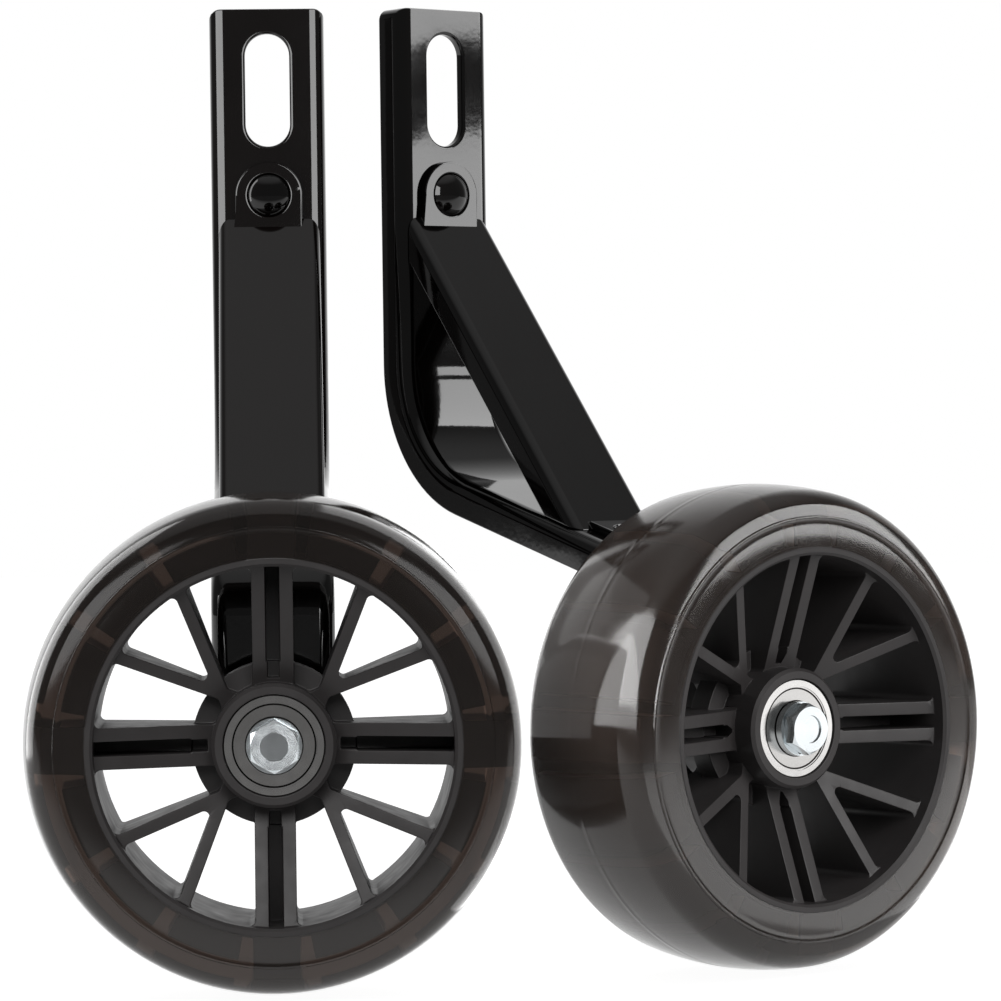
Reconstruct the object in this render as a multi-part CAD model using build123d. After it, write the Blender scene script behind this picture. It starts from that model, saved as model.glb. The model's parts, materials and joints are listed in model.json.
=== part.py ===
from build123d import *
import os
from math import cos, radians, sin, tan

os.makedirs("parts", exist_ok=True)

# Places of the two units: the left one stands on the axes, the right one is turned and set beside it
unit_gap = 1.942
right_shift_y = 28.0
right_turn = 36.0

# Strip bracket: one pressed steel channel bent twice, flanges turned away from the wheel
strip_width = 27.6
strip_depth = 8.3
strip_sheet = 2.5
strip_corner = 3.6
strip_inner_corner = 1.1
strip_top_corner = 2.6
upright_face_y = 110.5
upright_top_z = 169.0
elbow_corner_z = 61.0
elbow_radius = 29.3
arm_slope = 15.6
foot_bend_radius = 14.0
foot_face_y = 25.0

# Long slot for the bicycle's axle
slot_width = 10.6
slot_length = 27.0
slot_centre_z = 149.5
slot_edge_round = 0.8

# Brace: pressed steel channel with a narrow riveted tab at each end
brace_half_width = 12.1
brace_depth = 6.8
brace_sheet = 1.8
brace_corner = 2.6
brace_inner_corner = 0.8
brace_top_z = 116.6
brace_slope = 50.4
brace_overrun = 8.0
upper_tab_half_width = 8.0
lower_tab_half_width = 7.0
lower_tab_reach = 7.0
tab_seat_depth = 0.35
tab_seat_radius = 5.2

# Dome headed rivets
rivet_z = 124.2
rivet_head_radius = 4.4
rivet_head_height = 2.7
rivet_shank_radius = 2.5
rivet_tail_radius = 3.9
rivet_tail_height = 1.2
rivet_hole_gap = 0.05

# Wheel core: hub, spokes and keyed rim in one moulding
hub_half_length = 13.5
hub_wall = 2.4
hub_shoulder = 1.4
hub_edge = 0.7
hub_disc_reach = 4.4
hub_disc_half = 3.0
rim_wall = 2.2
rim_half_width = 20.2
rim_edge = 0.6
spoke_root_inset = 1.0
spoke_root_half = 7.0
spoke_rim_half = 17.2
twin_rib = 2.9
twin_gap = 3.1
twin_web_half = 2.0
fork_rib = 2.6
fork_apex_reach = 2.0
fork_spread = 23.7
fork_stem = 4.0
window_corner = 1.2
tooth_height = 5.2
tooth_half_width = 17.5
tooth_arc = 20.0
tooth_pitch = 24.7
key_cover = 4.9
key_width = 10.0

# Tyre: one thick translucent ring moulded on the rim, its side falling in steps from the tread
tyre_radius = 54.3
tyre_depth = 13.5
tyre_half_width = 20.0
tyre_crown_half = 14.0
tyre_crown_drop = 1.2
tyre_shoulder_drop = 4.6
tyre_step_drop = 7.0
tyre_step = 0.35

# Radii of the wheel, from the tread inwards
rim_outer_radius = tyre_radius - tyre_depth
rim_inner_radius = rim_outer_radius - rim_wall
tooth_radius = rim_outer_radius + tooth_height

# Ball bearing, the common 8 by 22 by 7 size
bearing_half_space = 13.0
bearing_width = 7.0
race_outer_radius = 11.0
race_outer_wall = 2.0
race_inner_depth = 1.45
race_bore_radius = 4.0
race_edge = 0.3
ball_circle_depth = 3.5
ball_radius = 1.98
ball_count = 7
groove_radius = 2.1
cage_half_depth = 0.7
cage_half_width = 2.3
cage_pocket_gap = 0.05
shield_lap = 0.4
shield_bore_gap = 0.25
shield_sheet = 0.4
shield_recess = 0.55
shield_dish_inset = 0.7
shield_dish = 0.25
clip_width = 0.65
clip_thickness = 0.35
clip_opening = 24.0
seat_gap = 0.03

# Radii of the bearing and the hub round it, from the bearing's outer ring
race_outer_land = race_outer_radius - race_outer_wall
ball_circle = race_outer_radius - ball_circle_depth
race_inner_land = ball_circle - race_inner_depth
cage_inner_radius = ball_circle - cage_half_depth
cage_outer_radius = ball_circle + cage_half_depth
shield_radius = race_outer_land + shield_lap
shield_bore_radius = race_inner_land + shield_bore_gap
shield_dish_radius = race_outer_land - shield_dish_inset
clip_inner_radius = shield_radius - clip_width
hub_radius = race_outer_radius + hub_wall
hub_bore_radius = race_outer_radius - hub_shoulder
hub_disc_radius = hub_radius + hub_disc_reach
spoke_root_radius = hub_radius - spoke_root_inset
fork_apex_radius = hub_radius + fork_apex_reach

# Axle: bolt, nut and the pieces clamped on it
bolt_radius = 3.0
bolt_head_flats = 10.0
bolt_head_height = 4.0
bolt_end_recess = 0.4
nut_flats = 10.0
nut_height = 3.2
thread_gap = 0.05
hex_chamfer = 0.6
sleeve_radius = 3.97
axle_hole_radius = 3.2
spacer_bore_radius = 4.05
spacer_radius = 5.7
collar_radius = 6.0
collar_length = 1.6
bush_radius = 6.0
washer_radius = 6.0
washer_thickness = 1.2


def tube(inner, outer, start, end):
    """Round ring about the axle, from one place along it to another."""
    face = Rectangle(outer - inner, end - start, align=(Align.MIN, Align.MIN))
    return revolve(Pos(inner, start) * face, Axis.Y)


def turned(points):
    """Turned piece about the axle from its half outline (radius, place along the axle)."""
    return revolve(make_face(Polyline(*points, close=True)), Axis.Y)


def round_array(shape, angles):
    """The same shape at each angle about the axle, as one."""
    return Part() + [Rot(0, angle, 0) * shape for angle in angles]


def channel_section(half_width, depth, sheet, corner, inner_corner):
    """Open channel with its face on the X axis and its flanges below."""
    outer = Rectangle(2 * half_width, depth, align=(Align.CENTER, Align.MAX))
    outer = fillet(outer.vertices().group_by(Axis.Y)[-1], corner)
    inner = Rectangle(2 * (half_width - sheet), depth, align=(Align.CENTER, Align.MAX))
    inner = fillet(inner.vertices().group_by(Axis.Y)[-1], inner_corner)
    return outer - Pos(0, -sheet) * inner


def hexagon(flats, length):
    """Six sided bar with chamfered ends, one corner up, standing on the XY plane."""
    bar = extrude(Rot(0, 0, 90) * RegularPolygon(flats / 2, 6, major_radius=False), length)
    reach = flats / 2 / cos(radians(30))
    flat = flats / 2
    outline = [
        (0, 0), (flat, 0), (reach, hex_chamfer), (reach, length - hex_chamfer), (flat, length), (0, length)]
    limit = revolve(Plane.XZ * make_face(Polyline(*outline, close=True)), Axis.Z)
    return bar & limit


# Bent line of the bracket: upright, elbow, sloping arm, second bend and foot
foot_end_z = -strip_width / 2
arm_direction = Vector(0, -cos(radians(arm_slope)), -sin(radians(arm_slope)))
bend_half_angle = radians(90 - arm_slope) / 2
elbow_corner = Vector(0, upright_face_y, elbow_corner_z)
arm_run = (upright_face_y - foot_face_y) / cos(radians(arm_slope))
foot_corner = elbow_corner + arm_direction * arm_run
elbow_tangent = elbow_radius * tan(bend_half_angle)
foot_tangent = foot_bend_radius * tan(bend_half_angle)
down = Vector(0, 0, -1)
strip_top = Vector(0, upright_face_y, upright_top_z)
elbow_start = elbow_corner - down * elbow_tangent
elbow_end = elbow_corner + arm_direction * elbow_tangent
foot_bend_start = foot_corner - arm_direction * foot_tangent
foot_bend_end = foot_corner + down * foot_tangent
foot_end = Vector(0, foot_face_y, foot_end_z)
strip_line = Wire([
    Line(strip_top, elbow_start),
    TangentArc(elbow_start, elbow_end, tangent=down),
    Line(elbow_end, foot_bend_start),
    TangentArc(foot_bend_start, foot_bend_end, tangent=arm_direction),
    Line(foot_bend_end, foot_end),
])

# Bracket: the channel section swept along the bent line, with a round foot and rounded top corners
strip_section = channel_section(strip_width / 2, strip_depth, strip_sheet, strip_corner, strip_inner_corner)
bracket = sweep(Plane(strip_top, x_dir=(1, 0, 0), z_dir=down) * strip_section, path=strip_line)
front_outline = Rectangle(strip_width, upright_top_z, align=(Align.CENTER, Align.MIN))
front_outline = fillet(front_outline.vertices().group_by(Axis.Y)[-1], strip_top_corner)
front_outline += Circle(strip_width / 2)
bracket &= extrude(Plane.XZ * front_outline, upright_face_y + strip_depth, both=True)
face_plane = Plane((0, upright_face_y, 0), x_dir=(1, 0, 0), z_dir=(0, -1, 0))
slot = Pos(0, slot_centre_z) * SlotOverall(slot_length, slot_width, rotation=90)
bracket -= extrude(face_plane * slot, -strip_depth)
slot_box = bracket.edges().filter_by_position(Axis.Y, upright_face_y, upright_face_y)
slot_box = slot_box.filter_by_position(Axis.X, -slot_width / 2, slot_width / 2)
slot_low, slot_high = slot_centre_z - slot_length / 2, slot_centre_z + slot_length / 2
bracket = fillet(slot_box.filter_by_position(Axis.Z, slot_low, slot_high), slot_edge_round)
bracket -= Pos(0, foot_face_y, 0) * Rot(90, 0, 0) * Cylinder(axle_hole_radius, 2 * strip_depth)

# Planes the brace is riveted on: the upright's face and the top of the sloping arm
brace_direction = Vector(0, -cos(radians(brace_slope)), -sin(radians(brace_slope)))
brace_start = Vector(0, upright_face_y - brace_sheet, brace_top_z)
arm_fall = tan(radians(arm_slope))
arm_height = elbow_corner_z - brace_top_z - arm_fall * brace_sheet
brace_run = -arm_height / (tan(radians(brace_slope)) - arm_fall)
brace_length = brace_run / cos(radians(brace_slope))
landing = brace_start + brace_direction * brace_length
arm_normal = Vector(0, -sin(radians(arm_slope)), cos(radians(arm_slope)))
arm_plane = Plane(landing, x_dir=(1, 0, 0), z_dir=arm_normal)

# Brace: straight channel cut off flush on both planes, with an arched tab at each end
brace_section = channel_section(brace_half_width, brace_depth, brace_sheet, brace_corner, brace_inner_corner)
brace_plane = Plane(brace_start - brace_direction * brace_overrun, x_dir=(1, 0, 0), z_dir=brace_direction)
brace = extrude(brace_plane * brace_section, brace_length + 2 * brace_overrun)
half_space = Box(
    4 * brace_half_width, brace_length, brace_length, align=(Align.CENTER, Align.CENTER, Align.MAX))
brace -= face_plane.location * Pos(0, brace_top_z, 0) * half_space
brace -= arm_plane.location * half_space
upper_tab = Pos(0, rivet_z) * Circle(upper_tab_half_width)
upper_tab += Pos(0, rivet_z) * Rectangle(
    2 * upper_tab_half_width, rivet_z - brace_top_z + brace_sheet, align=(Align.CENTER, Align.MAX))
brace += extrude(face_plane * upper_tab, brace_sheet)
lower_tab = Pos(0, -lower_tab_reach) * Circle(lower_tab_half_width)
lower_tab += Pos(0, brace_sheet) * Rectangle(
    2 * lower_tab_half_width, lower_tab_reach + brace_sheet, align=(Align.CENTER, Align.MAX))
brace += extrude(arm_plane * lower_tab, brace_sheet)

# Rivets through both sheets, each dome seated in a shallow round of its tab and each tail flush behind
dome_radius = (rivet_head_radius ** 2 + rivet_head_height ** 2) / (2 * rivet_head_height)
dome_centre = rivet_head_height - dome_radius
rivet_head = (Pos(0, 0, dome_centre) * Sphere(dome_radius)) & Cylinder(
    rivet_head_radius, 2 * rivet_head_height, align=(Align.CENTER, Align.CENTER, Align.MIN))
rivet_grip = strip_sheet + brace_sheet - tab_seat_depth
rivet = rivet_head + Cylinder(rivet_shank_radius, rivet_grip, align=(Align.CENTER, Align.CENTER, Align.MAX))
rivet_tail = Cone(
    rivet_tail_radius, rivet_shank_radius, rivet_tail_height, align=(Align.CENTER, Align.CENTER, Align.MIN))
rivet += Pos(0, 0, -rivet_grip) * rivet_tail
rivet_hole = Cylinder(rivet_shank_radius + rivet_hole_gap, 4 * rivet_grip)
seat_height = brace_sheet - tab_seat_depth
seat_cut = Pos(0, 0, seat_height) * Cylinder(
    tab_seat_radius, brace_sheet, align=(Align.CENTER, Align.CENTER, Align.MIN))
sink_cut = Pos(0, 0, -strip_sheet) * Cone(
    rivet_tail_radius + rivet_hole_gap, rivet_shank_radius + rivet_hole_gap, rivet_tail_height,
    align=(Align.CENTER, Align.CENTER, Align.MIN))
upper_place = face_plane.location * Pos(0, rivet_z, 0)
lower_place = arm_plane.location * Pos(0, -lower_tab_reach, 0)
for spot in (upper_place, lower_place):
    bracket -= spot * (rivet_hole + sink_cut)
    brace -= spot * (rivet_hole + seat_cut)
rivet_upper = upper_place * Pos(0, 0, seat_height) * rivet
rivet_lower = lower_place * Pos(0, 0, seat_height) * rivet

# Rim with its embedded teeth and the four keys that come through the tyre's sides
rim = turned([
    (rim_inner_radius, -rim_half_width + rim_edge), (rim_inner_radius + rim_edge, -rim_half_width),
    (rim_outer_radius - rim_edge, -rim_half_width), (rim_outer_radius, -rim_half_width + rim_edge),
    (rim_outer_radius, rim_half_width - rim_edge), (rim_outer_radius - rim_edge, rim_half_width),
    (rim_inner_radius + rim_edge, rim_half_width), (rim_inner_radius, rim_half_width - rim_edge),
])
rim_middle = (rim_inner_radius + rim_outer_radius) / 2
tooth_face = Pos(rim_middle, 0) * Rectangle(
    tooth_radius - rim_middle, 2 * tooth_half_width, align=(Align.MIN, Align.CENTER))
tooth = Rot(0, -tooth_arc / 2, 0) * revolve(tooth_face, Axis.Y, revolution_arc=tooth_arc)
tooth_angles = [90 * quarter + 45 + step * tooth_pitch for quarter in range(4) for step in (-1, 0, 1)]
key_reach = tyre_radius - key_cover - rim_middle
key = Pos(rim_middle, 0, 0) * Box(
    key_reach, 2 * tyre_half_width, key_width, align=(Align.MIN, Align.CENTER, Align.CENTER))
quarters = [0, 90, 180, 270]
keyed_rim = rim + round_array(tooth, tooth_angles) + round_array(key, quarters)

# Spokes: the web between hub and rim less its round cornered windows, deepening from hub to rim
twin_half = twin_gap / 2 + twin_rib
twin_flat = Rectangle(rim_outer_radius, 2 * twin_half, align=(Align.MIN, Align.CENTER))
fork_arm_flat = Pos(-fork_stem, 0) * Rectangle(
    rim_outer_radius + fork_stem, fork_rib, align=(Align.MIN, Align.CENTER))
fork_flat = Rot(0, 0, fork_spread) * fork_arm_flat + Rot(0, 0, -fork_spread) * fork_arm_flat
window_flats = Circle(rim_inner_radius) - Circle(hub_radius)
for angle in quarters:
    window_flats -= Rot(0, 0, angle) * twin_flat
    window_flats -= Rot(0, 0, angle + 45) * Pos(fork_apex_radius, 0) * fork_flat
windows = [face.fillet_2d(window_corner, face.vertices()) for face in window_flats.faces()]
spoke_flats = Circle(rim_middle) - Circle(hub_bore_radius) - windows
spokes = extrude(Plane.XZ * spoke_flats, rim_half_width, both=True)
spokes &= turned([
    (hub_bore_radius, -spoke_root_half), (spoke_root_radius, -spoke_root_half), (rim_middle, -spoke_rim_half),
    (rim_middle, spoke_rim_half), (spoke_root_radius, spoke_root_half), (hub_bore_radius, spoke_root_half),
])
twin_groove_flat = Pos(hub_disc_radius, 0) * Rectangle(
    rim_inner_radius - hub_disc_radius, twin_gap, align=(Align.MIN, Align.CENTER))
twin_groove = extrude(Plane.XZ * twin_groove_flat, rim_half_width, both=True)
twin_groove -= Box(2 * rim_outer_radius, 2 * twin_web_half, 2 * twin_gap)
spokes -= round_array(twin_groove, quarters)

# Hub with a bearing seat at each end
hub = turned([
    (hub_bore_radius, -hub_half_length), (hub_radius - hub_edge, -hub_half_length),
    (hub_radius, -hub_half_length + hub_edge), (hub_radius, hub_half_length - hub_edge),
    (hub_radius - hub_edge, hub_half_length), (hub_bore_radius, hub_half_length),
])
hub += tube(hub_bore_radius, hub_disc_radius, -hub_disc_half, hub_disc_half)
bearing_inner_face = bearing_half_space - bearing_width
core = hub + spokes + keyed_rim
for side in (-1, 1):
    ends = sorted((side * bearing_inner_face, side * hub_half_length))
    core -= tube(0, race_outer_radius + seat_gap, *ends)

# Tyre: full section less the rim, teeth and keys it is moulded round
tyre_corner = (tyre_radius - tyre_crown_drop, tyre_crown_half)
tyre_other_corner = (tyre_radius - tyre_crown_drop, -tyre_crown_half)
tyre_shoulder = (tyre_radius - tyre_shoulder_drop, tyre_half_width - tyre_step)
tyre_step_radius = tyre_radius - tyre_step_drop
crown = ThreePointArc(tyre_other_corner, (tyre_radius, 0), tyre_corner)
shoulder = TangentArc(tyre_corner, tyre_shoulder, tangent=crown % 1)
sidewall = Polyline(
    tyre_shoulder, (tyre_step_radius, tyre_half_width - tyre_step), (tyre_step_radius, tyre_half_width),
    (rim_middle, tyre_half_width), (rim_middle, 0))
half_section = [shoulder, sidewall]
other_half = [mirror(line, Plane.XZ) for line in half_section]
tyre = revolve(make_face([crown] + half_section + other_half), Axis.Y)
tyre -= keyed_rim

# Bearing pieces, drawn with the outer face toward the start of the axle and the middle at zero
half_race = bearing_width / 2
ball_ring = revolve(Pos(ball_circle, 0) * Circle(groove_radius), Axis.Y)
seat_floor = half_race - shield_recess - shield_sheet
race_outer = turned([
    (race_outer_land, -half_race), (race_outer_radius - race_edge, -half_race),
    (race_outer_radius, -half_race + race_edge), (race_outer_radius, half_race - race_edge),
    (race_outer_radius - race_edge, half_race), (race_outer_land, half_race),
]) - ball_ring
for ends in ((-half_race, -seat_floor), (seat_floor, half_race)):
    race_outer -= tube(0, shield_radius, *ends)
race_inner = turned([
    (race_bore_radius, -half_race + race_edge), (race_bore_radius + race_edge, -half_race),
    (race_inner_land, -half_race), (race_inner_land, half_race),
    (race_bore_radius + race_edge, half_race), (race_bore_radius, half_race - race_edge),
]) - ball_ring
ball_angles = [360 / ball_count * number for number in range(ball_count)]
ball_spots = [Rot(0, angle, 0) * Pos(ball_circle, 0, 0) for angle in ball_angles]
balls = [spot * Sphere(ball_radius) for spot in ball_spots]
cage = tube(cage_inner_radius, cage_outer_radius, -cage_half_width, cage_half_width)
for spot in ball_spots:
    cage -= spot * Sphere(ball_radius + cage_pocket_gap)
shield = turned([
    (shield_bore_radius, -seat_floor - shield_dish), (shield_dish_radius, -seat_floor - shield_dish),
    (shield_dish_radius, -seat_floor), (shield_radius, -seat_floor),
    (shield_radius, -seat_floor - shield_sheet),
    (shield_dish_radius + shield_sheet, -seat_floor - shield_sheet),
    (shield_dish_radius + shield_sheet, -seat_floor - shield_sheet - shield_dish),
    (shield_bore_radius, -seat_floor - shield_sheet - shield_dish),
])
clip_face = Pos(clip_inner_radius, -seat_floor - shield_sheet) * Rectangle(
    shield_radius - clip_inner_radius, clip_thickness, align=(Align.MIN, Align.MAX))
clip = Rot(0, clip_opening / 2, 0) * revolve(clip_face, Axis.Y, revolution_arc=360 - clip_opening)

# Pieces clamped on the axle bolt, from the nut to the bolt head
collar_start = -bearing_half_space - collar_length
nut_start = collar_start - nut_height
washer_start = foot_face_y + strip_sheet
head_start = washer_start + washer_thickness
bolt_end = nut_start + bolt_end_recess
sleeve = tube(axle_hole_radius, sleeve_radius, -bearing_half_space, bearing_half_space)
spacer = tube(spacer_bore_radius, spacer_radius, -bearing_inner_face, bearing_inner_face)
collar = tube(axle_hole_radius, collar_radius, collar_start, -bearing_half_space)
bush = tube(axle_hole_radius, bush_radius, bearing_half_space, foot_face_y)
washer = tube(axle_hole_radius, washer_radius, washer_start, head_start)
along_axle = Rot(-90, 0, 0)
bolt = Pos(0, head_start, 0) * along_axle * hexagon(bolt_head_flats, bolt_head_height)
bolt += tube(0, bolt_radius, bolt_end, head_start)
nut = Pos(0, nut_start, 0) * along_axle * hexagon(nut_flats, nut_height)
nut -= tube(0, bolt_radius + thread_gap, nut_start, collar_start)

# One unit: every piece by name, in the unit's own frame (axle on Y, wheel's middle at zero)
outer_bearing = Pos(0, -bearing_half_space + half_race, 0)
inner_bearing = Pos(0, bearing_half_space - half_race, 0) * Rot(0, 0, 180)
pieces = {
    "bracket": bracket, "brace": brace, "rivet_upper": rivet_upper, "rivet_lower": rivet_lower,
    "core": core, "tyre": tyre, "sleeve": sleeve, "spacer": spacer, "collar": collar, "bush": bush,
    "washer": washer, "bolt": bolt, "nut": nut, "outer_clip": outer_bearing * clip,
}
for name, spot in (("outer", outer_bearing), ("inner", inner_bearing)):
    pieces[name + "_race_out"] = spot * race_outer
    pieces[name + "_race_in"] = spot * race_inner
    pieces[name + "_balls"] = Compound([spot * ball for ball in balls])
    pieces[name + "_cage"] = spot * cage
    pieces[name + "_shield_a"] = spot * shield
    pieces[name + "_shield_b"] = spot * Rot(0, 0, 180) * shield

# Both units in the shared frame, whose origin is the left slot's centre on the back of the sheet
to_origin = Pos(0, -upright_face_y - strip_sheet, -slot_centre_z)
shoulder_reach = tyre_shoulder[0] * cos(radians(right_turn)) + tyre_shoulder[1] * sin(radians(right_turn))
right_shift_x = tyre_radius + shoulder_reach + unit_gap
units = {
    "left": to_origin,
    "right": to_origin * Pos(right_shift_x, right_shift_y, 0) * Rot(0, 0, right_turn),
}
for unit_name, place in units.items():
    for piece_name, shape in pieces.items():
        export_step(place * shape, "parts/" + piece_name + "_" + unit_name + ".step")
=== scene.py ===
import json
from math import acos, atan2, cos, pi, radians, sin

import bpy
from mathutils import Matrix, Vector


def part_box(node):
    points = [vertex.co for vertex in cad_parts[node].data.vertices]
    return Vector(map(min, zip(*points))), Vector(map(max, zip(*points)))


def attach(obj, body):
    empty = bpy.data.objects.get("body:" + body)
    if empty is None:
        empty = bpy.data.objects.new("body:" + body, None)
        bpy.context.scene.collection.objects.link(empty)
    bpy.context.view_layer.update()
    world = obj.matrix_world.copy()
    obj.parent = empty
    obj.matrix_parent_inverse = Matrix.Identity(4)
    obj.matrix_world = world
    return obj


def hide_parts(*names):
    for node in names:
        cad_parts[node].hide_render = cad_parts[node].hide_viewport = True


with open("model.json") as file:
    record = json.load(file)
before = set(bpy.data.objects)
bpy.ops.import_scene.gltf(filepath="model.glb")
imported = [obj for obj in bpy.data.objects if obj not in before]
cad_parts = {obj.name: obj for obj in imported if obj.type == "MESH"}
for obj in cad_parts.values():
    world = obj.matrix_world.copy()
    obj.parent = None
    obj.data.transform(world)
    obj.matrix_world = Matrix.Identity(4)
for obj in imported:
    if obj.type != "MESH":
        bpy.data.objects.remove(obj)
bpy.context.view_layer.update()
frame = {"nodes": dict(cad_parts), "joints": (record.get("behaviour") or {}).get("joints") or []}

# Brackets: one strip of steel sheet for each unit, pressed into a channel, bent twice and
# slotted for the bicycle's axle, its cut edges tumbled soft and the whole stoved in gloss black.


class Socket:
    """One output of a finish's nodes: sums on it add Math nodes, and node() adds any other node."""

    def __init__(self, tree, output):
        self.tree = tree
        self.output = output

    def node(self, kind, settings=(), sockets=(), result=0):
        """One output of a new node, whose settings come first and then its values and links."""
        made = self.tree.nodes.new(kind)
        for name, value in dict(settings).items():
            setattr(made, name, value)
        for name, value in dict(sockets).items():
            if isinstance(value, Socket):
                self.tree.links.new(value.output, made.inputs[name])
            else:
                made.inputs[name].default_value = value
        return Socket(self.tree, made.outputs[result])

    def math(self, operation, other):
        return self.node("ShaderNodeMath", {"operation": operation}, {0: self, 1: other})

    def __add__(self, other):
        return self.math("ADD", other)

    def __sub__(self, other):
        return self.math("SUBTRACT", other)

    def __rsub__(self, other):
        return self.node("ShaderNodeMath", {"operation": "SUBTRACT"}, {0: other, 1: self})

    def __mul__(self, other):
        return self.math("MULTIPLY", other)

    __radd__ = __add__
    __rmul__ = __mul__

    def noise(self, size, detail=2.0):
        """Cloudy values round a half, with lumps of about this size in metres."""
        return self.node("ShaderNodeTexNoise", (), {
            "Vector": self, "Scale": 1 / size, "Detail": detail})

    def between(self, low, high):
        """This value, spread from its middle half to the range low to high."""
        return self.node("ShaderNodeMapRange", (), {
            "Value": self, "From Min": 0.25, "From Max": 0.75, "To Min": low, "To Max": high})

    def blend(self, first, second):
        """One colour where this value is 0, the other where it is 1."""
        colours = [part if isinstance(part, Socket) else (*part, 1) for part in (first, second)]
        return self.node("ShaderNodeMix", {"data_type": "RGBA"}, {
            "Factor": self, 6: colours[0], 7: colours[1]}, 2)

    def bump(self, depth):
        """Surface normal of this value as a height, full depth in metres."""
        return self.node("ShaderNodeBump", (), {
            "Height": self, "Strength": 1.0, "Distance": depth})

    def feed(self, socket):
        self.tree.links.new(self.output, socket)


def new_finish(name):
    """Empty finish: the material, its shader's sockets and the piece's own coordinates."""
    material = bpy.data.materials.new(name)
    material.use_nodes = True
    tree = material.node_tree
    shader = tree.nodes["Principled BSDF"].inputs
    place = Socket(tree, tree.nodes.new("ShaderNodeTexCoord").outputs["Object"])
    return material, shader, place


paint, shader, place = new_finish("black_paint")
paint_dark = (0.0012, 0.0008, 0.0007)
paint_light = (0.0024, 0.0018, 0.0017)
place.noise(size=0.03).blend(paint_dark, paint_light).feed(shader["Base Color"])
place.noise(size=0.012).between(0.045, 0.075).feed(shader["Roughness"])
sheet_wave = place.noise(size=0.018, detail=1.0)
orange_peel = place.noise(size=0.0016, detail=1.0)
peel_share = 0.06
(sheet_wave + peel_share * orange_peel).bump(depth=0.00008).feed(shader["Normal"])
shader["IOR"].default_value = 1.5

units = ("left", "right")
bracket_edge = 0.00035
pressed_angle = radians(50)
smooth_angle = radians(35)
flat_angle = radians(0.5)
weld_gap = 1e-6
shown = dict(frame["nodes"])


def stand_in(piece, node_name, body):
    """Shows a piece in a CAD piece's stead, on that piece's body."""
    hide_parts(node_name)
    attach(piece, body)
    shown[node_name] = piece


def merged_copy(node_name, body):
    """A CAD piece's copy in one skin, to be worked on and shown in the CAD piece's stead."""
    bpy.ops.object.select_all(action="DESELECT")
    piece = bpy.data.objects.new("soft_" + node_name, frame["nodes"][node_name].data.copy())
    bpy.context.scene.collection.objects.link(piece)
    bpy.context.view_layer.objects.active = piece
    piece.select_set(True)
    bpy.ops.mesh.customdata_custom_splitnormals_clear()
    bpy.ops.object.mode_set(mode="EDIT")
    bpy.ops.mesh.select_all(action="SELECT")
    bpy.ops.mesh.remove_doubles(threshold=weld_gap)
    bpy.ops.mesh.dissolve_limited(angle_limit=flat_angle)
    bpy.ops.object.mode_set(mode="OBJECT")
    stand_in(piece, node_name, body)
    return piece


def round_edges(piece, edge, least_angle):
    """Rounds the edges of the piece at hand that are sharper than an angle."""
    rounding = piece.modifiers.new("rounding", "BEVEL")
    rounding.width = edge
    rounding.segments = 2
    rounding.limit_method = "ANGLE"
    rounding.angle_limit = least_angle
    rounding.use_clamp_overlap = False
    rounding.loop_slide = False
    bpy.ops.object.modifier_apply(modifier="rounding")


def shade_even(piece):
    """Shades the piece at hand smooth on its curves and flat on its wide faces."""
    bpy.ops.object.shade_smooth_by_angle(angle=smooth_angle)
    evening = piece.modifiers.new("evening", "WEIGHTED_NORMAL")
    evening.keep_sharp = True
    bpy.ops.object.modifier_apply(modifier="evening")


def finish_node(node_name, finish):
    """Gives a piece its finish."""
    materials = shown[node_name].data.materials
    materials.clear()
    materials.append(finish)


for unit in units:
    bracket = merged_copy("bracket_" + unit, "frame")
    round_edges(bracket, bracket_edge, pressed_angle)
    shade_even(bracket)
    finish_node("bracket_" + unit, paint)

# Braces: a shorter pressed channel for each unit, cut off on the slant and riveted by a
# tab at each end, in the same black paint.
brace_edge = 0.00040
for unit in units:
    brace = merged_copy("brace_" + unit, "frame")
    round_edges(brace, brace_edge, pressed_angle)
    shade_even(brace)
    finish_node("brace_" + unit, paint)

# Rivets: dome headed steel rivets set cold through tab and bracket, painted with the rest;
# the upper ones' heads spread wide over the tab as they are set.
joints = {joint["name"]: joint for joint in frame["joints"]}
axle = {unit: Vector(joints["wheel_" + unit + "_spin"]["pos_m"]) for unit in units}
axle_line = {unit: Vector(joints["wheel_" + unit + "_spin"]["axis"]) for unit in units}
unit_turn = {unit: axle_line[unit].xy.angle_signed(axle_line["left"].xy) for unit in units}
to_right = Matrix.Translation(axle["right"]) @ Matrix.Rotation(unit_turn["right"], 4, "Z")
to_right = to_right @ Matrix.Translation(-axle["left"])


def twin(piece, name):
    """The right unit's copy of a piece of the left unit, with its own mesh."""
    copy = bpy.data.objects.new(name, piece.data.copy())
    bpy.context.scene.collection.objects.link(copy)
    copy.data.transform(to_right)
    return copy


head_width = 0.0104
rivet = merged_copy("rivet_upper_left", "frame")
rivet_low, rivet_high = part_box("rivet_upper_left")
rivet_middle = (rivet_low + rivet_high) / 2
spread = head_width / (rivet_high.x - rivet_low.x)
bpy.ops.object.mode_set(mode="EDIT")
bpy.ops.mesh.select_all(action="SELECT")
bpy.ops.transform.resize(value=(spread, 1, spread), center_override=rivet_middle)
bpy.ops.object.mode_set(mode="OBJECT")
shade_even(rivet)
stand_in(twin(rivet, "soft_rivet_upper_right"), "rivet_upper_right", "frame")
for unit in units:
    finish_node("rivet_upper_" + unit, paint)
    finish_node("rivet_lower_" + unit, paint)

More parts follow.
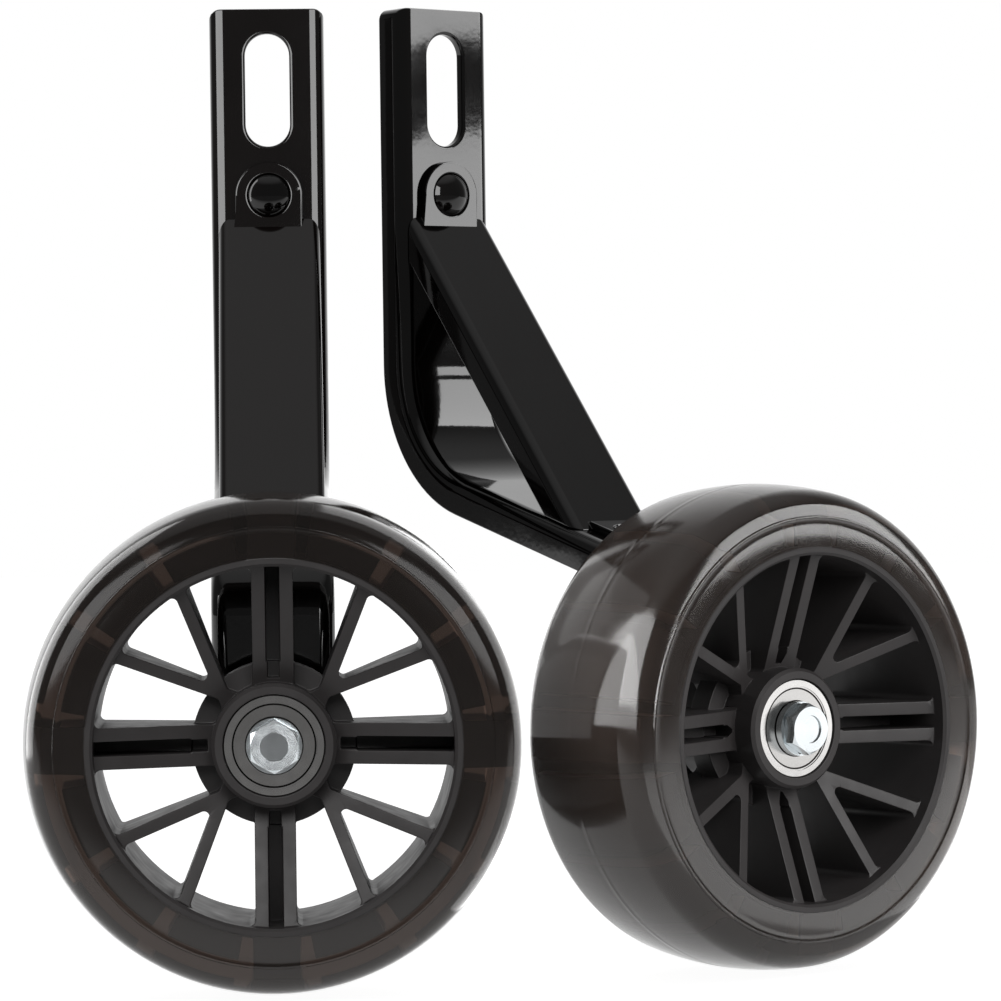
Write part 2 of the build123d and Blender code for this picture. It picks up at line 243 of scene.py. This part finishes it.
# Wheel cores: hub, spokes and keyed rim moulded in one from black nylon with the mould's fine
# satin grain. The twin spokes' slots run in to the hub, and the keys end inside the tyre.
rim_radius = 0.0408
rim_margin = 0.0001
key_end = 0.0195
key_inset = 0.0025
key_margin = 0.0005
tooth_tip = 0.0460
tooth_end = 0.0175
tooth_margin = 0.0002
slot_reach = (0.0143, 0.0182)
slot_depth = (0.0021, 0.0150)
slot_width = 0.0026
core_edge = 0.00025
moulded_angle = radians(66)


def about_axle(place, unit):
    """A unit's own coordinates: its axle along Y, its wheel's middle at zero."""
    return place.node("ShaderNodeMapping", {"vector_type": "TEXTURE"}, {
        "Vector": place, "Location": axle[unit], "Rotation": (0, 0, unit_turn[unit])})


def axle_radius(place, unit):
    """Distance from a unit's axle."""
    flat = place.node("ShaderNodeVectorMath", {"operation": "MULTIPLY"}, {
        0: about_axle(place, unit), 1: (1, 0, 1)})
    return flat.node("ShaderNodeVectorMath", {"operation": "LENGTH"}, {0: flat}, "Value")


def one_axis(place, name):
    """One axis of a place or direction."""
    return place.node("ShaderNodeSeparateXYZ", (), {"Vector": place}, name)


def near(value, middle, reach):
    """1 where a value is within reach of a middle one, and 0 elsewhere."""
    return value.node("ShaderNodeMath", {"operation": "COMPARE"}, {0: value, 1: middle, 2: reach})


# One cutter for each core holds the blocks of all eight slot ends.
slot_middle = sum(slot_reach) / 2
slot_length = slot_reach[1] - slot_reach[0]
cut_middle = sum(slot_depth) / 2
cut_height = slot_depth[1] - slot_depth[0]
bpy.ops.object.select_all(action="DESELECT")
bpy.ops.mesh.primitive_cube_add(size=0.01)
left_cutter = bpy.context.object
bpy.ops.object.mode_set(mode="EDIT")
bpy.ops.mesh.delete(type="VERT")
for across, upward in ((1, 0), (-1, 0), (0, 1), (0, -1)):
    for face in (-1, 1):
        middle = Vector((across * slot_middle, face * cut_middle, upward * slot_middle))
        width = slot_length if across else slot_width
        height = slot_length if upward else slot_width
        bpy.ops.mesh.primitive_cube_add(
            size=1, location=axle["left"] + middle, scale=(width, cut_height, height))
bpy.ops.object.mode_set(mode="OBJECT")
cutters = {"left": left_cutter, "right": twin(left_cutter, "right_cutter")}

for unit in units:
    # Inside the tyre the teeth's tips and ends are dark, and the faces between them are painted
    # pale, a painted glow that stands in for light scattered through the cloudy tyre.
    core_plastic, shader, place = new_finish("core_plastic_" + unit)
    radius = axle_radius(place, unit)
    bonded = radius.math("GREATER_THAN", rim_radius + rim_margin)
    below_tip = radius.math("LESS_THAN", tooth_tip - tooth_margin)
    between_ends = near(one_axis(about_axle(place, unit), "Y"), 0.0, tooth_end - tooth_margin)
    bare = place.noise(size=0.008).blend((0.014, 0.0125, 0.0125), (0.021, 0.019, 0.019))
    # Painted glow: the pale colour between the teeth stands in for light scattered in the tyre.
    teeth_and_painted_glow = (between_ends * below_tip).blend((0.030, 0.028, 0.028), (0.26, 0.22, 0.20))
    bonded.blend(bare, teeth_and_painted_glow).feed(shader["Base Color"])
    (place.noise(size=0.005).between(0.40, 0.54) + bonded).feed(shader["Roughness"])
    place.noise(size=0.0007).bump(depth=0.000004).feed(shader["Normal"])
    shader["Specular IOR Level"].default_value = 0.25

    core = merged_copy("core_" + unit, "wheel_" + unit)
    cutting = core.modifiers.new("cutting", "BOOLEAN")
    cutting.object = cutters[unit]
    cutting.operation = "DIFFERENCE"
    cutting.solver = "EXACT"
    bpy.ops.object.modifier_apply(modifier="cutting")
    bpy.data.objects.remove(cutters[unit])

    # The keys' ends are drawn in, so that the tyre covers them.
    bpy.ops.object.mode_set(mode="EDIT")
    bpy.ops.mesh.select_all(action="DESELECT")
    bpy.ops.object.mode_set(mode="OBJECT")
    for face in (-1, 1):
        for point in core.data.vertices:
            reach = point.co - axle[unit]
            along = reach.dot(axle_line[unit])
            from_axle = (reach - along * axle_line[unit]).length
            point.select = from_axle > rim_radius + key_margin and face * along > key_end
        bpy.ops.object.mode_set(mode="EDIT")
        bpy.ops.transform.translate(value=-face * key_inset * axle_line[unit])
        bpy.ops.mesh.select_all(action="DESELECT")
        bpy.ops.object.mode_set(mode="OBJECT")
    round_edges(core, core_edge, moulded_angle)
    shade_even(core)
    finish_node("core_" + unit, core_plastic)

# Tyres: a thick ring of smoky polyurethane for each wheel, cast clear round the rim's teeth
# so that they show darkly inside it, with a fine seam round the tread where the mould parts.
smoke, shader, place = new_finish("smoky_tyre")
smoke_dark = (0.16, 0.120, 0.100)
smoke_light = (0.19, 0.145, 0.122)
smoke_tint = (0.34, 0.28, 0.25, 1)
smoke_density = 75.0
place.noise(size=0.012).blend(smoke_dark, smoke_light).feed(shader["Base Color"])
place.noise(size=0.004).between(0.10, 0.15).feed(shader["Roughness"])
place.noise(size=0.012, detail=1.0).bump(depth=0.00002).feed(shader["Normal"])
shader["Transmission Weight"].default_value = 0.95
shader["IOR"].default_value = 1.48
absorbed = place.node("ShaderNodeVolumeAbsorption", (), {
    "Color": smoke_tint, "Density": smoke_density})
absorbed.feed(smoke.node_tree.nodes["Material Output"].inputs["Volume"])


def spun(name, outline, steps):
    """Ring turned about the left axle from a closed outline of (radius, along the axle) points."""
    bpy.ops.object.select_all(action="DESELECT")
    bpy.ops.mesh.primitive_plane_add(size=0.01)
    piece = bpy.context.object
    piece.name = name
    bpy.ops.object.mode_set(mode="EDIT")
    bpy.ops.mesh.select_all(action="SELECT")
    bpy.ops.mesh.merge(type="CENTER")
    stations = [axle["left"] + Vector((0, along, from_axle)) for from_axle, along in outline]
    bpy.ops.transform.translate(value=stations[0])
    for before, after in zip(stations, stations[1:] + stations[:1]):
        bpy.ops.mesh.extrude_vertices_move(TRANSFORM_OT_translate={"value": after - before})
    bpy.ops.mesh.select_all(action="SELECT")
    bpy.ops.mesh.spin(steps=steps, angle=2 * pi, center=axle["left"], axis=axle_line["left"])
    bpy.ops.mesh.select_all(action="SELECT")
    bpy.ops.mesh.remove_doubles(threshold=weld_gap)
    bpy.ops.mesh.normals_make_consistent(inside=False)
    bpy.ops.object.mode_set(mode="OBJECT")
    bpy.ops.object.shade_smooth_by_angle(angle=smooth_angle)
    return piece


def tangent_arc(start, heading, end, count):
    """Points from start to end on the arc that leaves start along heading, without start itself."""
    chord = end - start
    inward = Vector((-heading.y, heading.x))
    arc_radius = chord.length_squared / (2 * chord.dot(inward))
    centre = start + inward * arc_radius
    sweep = 2 * acos(max(-1.0, min(1.0, heading.dot(chord.normalized()))))
    sweep *= 1 if arc_radius > 0 else -1
    turns = [Matrix.Rotation(sweep * step / count, 2) for step in range(1, count + 1)]
    return [centre + turn @ (start - centre) for turn in turns]


tyre_low, tyre_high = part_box("tyre_left")
tyre_radius = (tyre_high.z - tyre_low.z) / 2
tyre_half_width = (tyre_high.y - tyre_low.y) / 2
tyre_bore = 0.0397
crown_half = 0.0140
crown_drop = 0.0012
seam_half = 0.00025
seam_height = 0.00010
shoulder_drop = 0.0046
shoulder_slope = 0.00040
ring_line_drop = 0.0070
ring_line_step = 0.00035
bead = ((0, -0.00035), (0.00005, -0.00010), (0.00020, 0.00008), (0.00045, 0.00014),
        (0.00075, 0.00008))
bead_width = 0.00110
side_rounding = 0.00035
crown_steps, shoulder_steps, side_steps, turn_steps = 10, 14, 6, 144

crown_radius = (crown_half ** 2 + crown_drop ** 2) / (2 * crown_drop)
crown_edge = Vector((tyre_radius - crown_drop, crown_half))
crown_sweep = 2 * atan2(crown_drop, crown_half)
crown_heading = Vector((-sin(crown_sweep), cos(crown_sweep)))
ring_line = Vector((tyre_radius - ring_line_drop, tyre_half_width - side_rounding))
shoulder = Vector((tyre_radius - shoulder_drop, ring_line.y - ring_line_step - shoulder_slope))
half_outline = [Vector((tyre_radius, 0)), Vector((tyre_radius - seam_height / 2, seam_half))]
for step in range(1, crown_steps + 1):
    lean = crown_sweep * step / crown_steps
    crown_fall = crown_radius * (1 - cos(lean))
    half_outline.append(Vector((tyre_radius - crown_fall, crown_radius * sin(lean))))
half_outline += tangent_arc(crown_edge, crown_heading, shoulder, shoulder_steps)
half_outline += [ring_line + Vector((-inward, rise)) for inward, rise in bead]
for step in range(side_steps + 1):
    outward = 1 - step / side_steps
    from_axle = tyre_bore + outward * (ring_line.x - bead_width - tyre_bore)
    half_outline.append(Vector((from_axle, tyre_half_width - side_rounding * outward ** 2)))
other_half = [Vector((point.x, -point.y)) for point in reversed(half_outline[1:])]
left_tyre = spun("smoky_tyre_left", half_outline + other_half, turn_steps)
left_tyre.data.materials.append(smoke)
tyres = {"left": left_tyre, "right": twin(left_tyre, "smoky_tyre_right")}
for unit, tyre in tyres.items():
    stand_in(tyre, "tyre_" + unit, "wheel_" + unit)

# Bearings: two ball bearings in each hub, ground steel rings with pressed steel shields,
# the outer one's shield held by a wire ring in a groove, whose dark is painted shade.
ring_mark = 0.00018
wave_scale = 2 * pi / (20 * ring_mark)
groove_radius = 0.0089
groove_half = 0.00018
groove_painted_shade = (0.02, 0.018, 0.017)
cloud_share = 0.82


def turned_steel(name, unit, colour, dull, mark_depth):
    """Steel with the fine rings of turning and grinding about a unit's axle, and painted shade in
    the groove round the shield.
    """
    finish, shader, place = new_finish(name + "_" + unit)
    around = about_axle(place, unit)
    rings = around.node("ShaderNodeTexWave", {"wave_type": "RINGS", "rings_direction": "Y"}, {
        "Vector": around, "Scale": wave_scale, "Distortion": 1.5, "Detail": 2.0})
    clouds = around.noise(size=0.002, detail=3.0)
    # Painted shade: the steel is made near black in the shield's groove, where shade falls.
    groove = near(axle_radius(place, unit), groove_radius, groove_half)
    metal = clouds.blend([cloud_share * part for part in colour], colour)
    groove.blend(metal, groove_painted_shade).feed(shader["Base Color"])
    clouds.between(0.8 * dull, 1.2 * dull).feed(shader["Roughness"])
    rings.bump(mark_depth).feed(shader["Normal"])
    shader["Metallic"].default_value = 1.0
    return finish


bearing_colour = (0.56, 0.55, 0.54)
shield_colour = (0.50, 0.49, 0.48)
bearing_pieces = ("race_out", "race_in", "balls")
shield_pieces = ("cage", "shield_a", "shield_b")
for unit in units:
    bearing_steel = turned_steel(
        "bearing_steel", unit, bearing_colour, dull=0.13, mark_depth=0.0000015)
    shield_steel = turned_steel(
        "shield_steel", unit, shield_colour, dull=0.17, mark_depth=0.000001)
    for end in ("outer", "inner"):
        for piece in bearing_pieces:
            finish_node(end + "_" + piece + "_" + unit, bearing_steel)
        for piece in shield_pieces:
            finish_node(end + "_" + piece + "_" + unit, shield_steel)
    finish_node("outer_clip_" + unit, bearing_steel)

# Axles: an M6 hexagon bolt through each foot and hub, with sleeve, spacer, collar, bush,
# washer and a thin nut, all of steel plated in bright bluish zinc.
zinc_colour = (0.74, 0.78, 0.80)
axle_pieces = ("sleeve", "spacer", "collar", "bush", "washer", "bolt", "nut")
for unit in units:
    zinc = turned_steel("zinc_steel", unit, zinc_colour, dull=0.20, mark_depth=0.000002)
    for piece in axle_pieces:
        finish_node(piece + "_" + unit, zinc)

# Studio: a white floor under the wheels, a white wall behind them and a dark room in front,
# with softboxes, each for its own pieces, whose light stands in the gloss of paint and tyres.
floor_z = tyre_low.z
floor_size = 6
floor_dim = (0.05, 0.05, 0.05)
floor_lit = (1, 1, 1)


def climb(value, start, end, low, high):
    """Smooth climb from low to high while a value goes from start to end."""
    return value.node("ShaderNodeMapRange", {"interpolation_type": "SMOOTHSTEP"}, {
        "Value": value, "From Min": start, "From Max": end, "To Min": low, "To Max": high})


bpy.ops.object.select_all(action="DESELECT")
bpy.ops.mesh.primitive_plane_add(size=floor_size, location=(0, 0, floor_z))
floor = bpy.context.object
floor.name = "studio_floor"
floor_white, shader, place = new_finish("floor_white")
shader["Base Color"].default_value = (0.4, 0.4, 0.4, 1)
shader["Roughness"].default_value = 1.0
shader["Specular IOR Level"].default_value = 0.0
far_floor = climb(one_axis(place, "Y"), start=-0.50, end=-0.18, low=0.0, high=1.0)
seen_floor = place.node("ShaderNodeLightPath", result="Is Camera Ray")
white_floor = far_floor.math("MAXIMUM", seen_floor)
white_floor.blend(floor_dim, floor_lit).feed(shader["Emission Color"])
shader["Emission Strength"].default_value = 0.95
floor.data.materials.append(floor_white)

room = bpy.data.worlds.new("studio_room")
bpy.context.scene.world = room
room.use_nodes = True
room_tree = room.node_tree
direction = Socket(room_tree, room_tree.nodes.new("ShaderNodeTexCoord").outputs["Generated"])
wall = climb(one_axis(direction, "Y"), start=0.35, end=0.95, low=0.14, high=1.1)
ceiling = climb(one_axis(direction, "Z"), start=0.55, end=0.95, low=0.0, high=0.5)
seen = direction.node("ShaderNodeLightPath", result="Is Camera Ray")
seen_through = direction.node("ShaderNodeLightPath", result="Is Transmission Ray")
plain = seen.math("MAXIMUM", seen_through)
backdrop = room_tree.nodes["Background"].inputs
backdrop["Color"].default_value = (1, 1, 1, 1)
(plain + (1 - plain) * wall.math("MAXIMUM", ceiling)).feed(backdrop["Strength"])


def lit_group(name, nodes):
    """Pieces that a softbox lights, so that each unit keeps its own reflections."""
    group = bpy.data.collections.new(name)
    for node in nodes:
        group.objects.link(shown[node])
    return group


def softbox(name, spot, facing, size, glow, lit):
    """Rectangular lamp of an even glow at a spot, facing a direction, that lights one group."""
    lamp = bpy.data.lights.new(name, "AREA")
    lamp.shape = "RECTANGLE"
    lamp.size, lamp.size_y = size
    lamp.energy = glow * pi * size[0] * size[1]
    box = bpy.data.objects.new(name, lamp)
    bpy.context.scene.collection.objects.link(box)
    box.location = spot
    box.rotation_euler = Vector(facing).to_track_quat("-Z", "Y").to_euler()
    box.visible_camera = False
    box.light_linking.receiver_collection = lit


def level(bearing):
    """Level direction at a bearing in degrees: 0 is the camera's side, and 90 the right."""
    return Vector((sin(radians(bearing)), -cos(radians(bearing)), 0))


left_paint = lit_group("left_paint", ("bracket_left", "brace_left", "nut_left"))
left_gloss = lit_group("left_gloss", ("tyre_left", "rivet_upper_left"))
left_tyre_only = lit_group("left_tyre_only", ("tyre_left",))
left_bracket = lit_group("left_bracket", ("bracket_left",))
right_paint = lit_group("right_paint", ("bracket_right", "brace_right", "outer_race_out_right"))
right_gloss = lit_group("right_gloss", ("tyre_right", "rivet_upper_right"))
right_wheel = lit_group("right_wheel", (
    "core_right", "outer_race_out_right", "outer_clip_right", "outer_shield_a_right",
    "outer_shield_b_right", "outer_race_in_right", "collar_right", "nut_right", "bolt_right"))
right_tyre_only = lit_group("right_tyre_only", ("tyre_right",))
right_core = lit_group("right_core", ("core_right",))
left_core = lit_group("left_core", ("core_left",))

left_eye = Vector((0, -0.003, 0.04))
softbox("left_band_box", left_eye + 0.7 * level(-40), -level(-40),
        size=(0.74, 0.42), glow=7.0, lit=left_paint)
softbox("right_band_box", left_eye + 0.7 * level(27), -level(27),
        size=(0.58, 0.42), glow=7.0, lit=left_paint)
softbox("right_edge_box", (0.035, 0.06, 0), -level(90),
        size=(0.12, 0.30), glow=1.3, lit=left_bracket)
softbox("left_halo_box", (-0.53, 0.17, 0.30), -level(-118),
        size=(0.51, 1.1), glow=4.0, lit=left_gloss)
softbox("right_halo_box", (0.0555, 0.02, -0.10), -level(90),
        size=(0.30, 0.40), glow=2.2, lit=left_tyre_only)
left_shoulder = Vector((0, -0.134, 0.047))
softbox("left_front_box", left_shoulder + 0.62 * level(-31), -level(-31),
        size=(0.38, 0.22), glow=2.5, lit=left_tyre_only)
softbox("right_front_box", left_shoulder + 0.62 * level(31), -level(31),
        size=(0.38, 0.22), glow=2.5, lit=left_tyre_only)
right_eye = Vector((0.043, 0.0044, 0))
right_plane = right_eye + 0.65 * level(84)
softbox("right_high_box", right_plane + Vector((0, 0, 0.31)), -level(84),
        size=(0.37, 0.48), glow=6.5, lit=right_paint)
softbox("right_low_box", right_plane, -level(84),
        size=(0.37, 0.07), glow=6.5, lit=right_paint)
softbox("right_wheel_box", (0.707, -0.225, -0.13), -level(78),
        size=(0.50, 0.14), glow=1.2, lit=right_wheel)
softbox("right_core_box", (0.46, -0.57, 0.15), (-0.53, 0.73, -0.43),
        size=(0.60, 0.50), glow=8.0, lit=right_core)
softbox("left_core_box", (-0.10, -0.80, 0.35), (0.12, 0.80, -0.59),
        size=(0.80, 0.60), glow=6.0, lit=left_core)
softbox("left_behind_box", (-0.31, 0.25, -0.05), -level(-133),
        size=(0.5, 0.7), glow=0.4, lit=right_tyre_only)
softbox("tread_strip_box", (0.0556, -0.211, -0.129), level(90),
        size=(0.178, 0.034), glow=4.5, lit=right_tyre_only)
softbox("tread_fill_box", (0.0556, -0.090, -0.120), level(90),
        size=(0.062, 0.06), glow=0.6, lit=right_tyre_only)
softbox("side_top_box", (0.707, -0.225, 0.100), -level(78),
        size=(0.50, 0.345), glow=7.0, lit=right_tyre_only)
softbox("side_low_card", (0.44, -0.17, -0.2035), (0, 0, 1),
        size=(0.55, 0.40), glow=1.5, lit=right_tyre_only)
tread_eye = Vector((0.065, -0.12, 0.28))
softbox("left_high_box", tread_eye + 0.6 * level(-56), -level(-56),
        size=(1.16, 0.62), glow=7.0, lit=right_gloss)

# Camera: a long lens about a metre in front of the left wheel, aimed slightly down and to the
# right and rolled a little, as the photograph was taken.
camera_place = Vector((0.00451, -1.1260, -0.08383))
yaw, pitch, roll = radians(2.56), radians(0.79), radians(-0.75)
ahead = Vector((sin(yaw) * cos(pitch), cos(yaw) * cos(pitch), -sin(pitch)))
right = Vector((cos(yaw), -sin(yaw), 0))
up = right.cross(ahead)
right_rolled = right * cos(roll) + up * sin(roll)
up_rolled = up * cos(roll) - right * sin(roll)
camera_data = bpy.data.cameras.new("camera")
camera_data.lens = 167.85
camera_data.sensor_width = 36.0
camera = bpy.data.objects.new("camera", camera_data)
bpy.context.scene.collection.objects.link(camera)
turn = Matrix((right_rolled, up_rolled, -ahead)).transposed()
camera.matrix_world = Matrix.Translation(camera_place) @ turn.to_4x4()
bpy.context.scene.camera = camera
bpy.context.scene.view_settings.view_transform = "Standard"
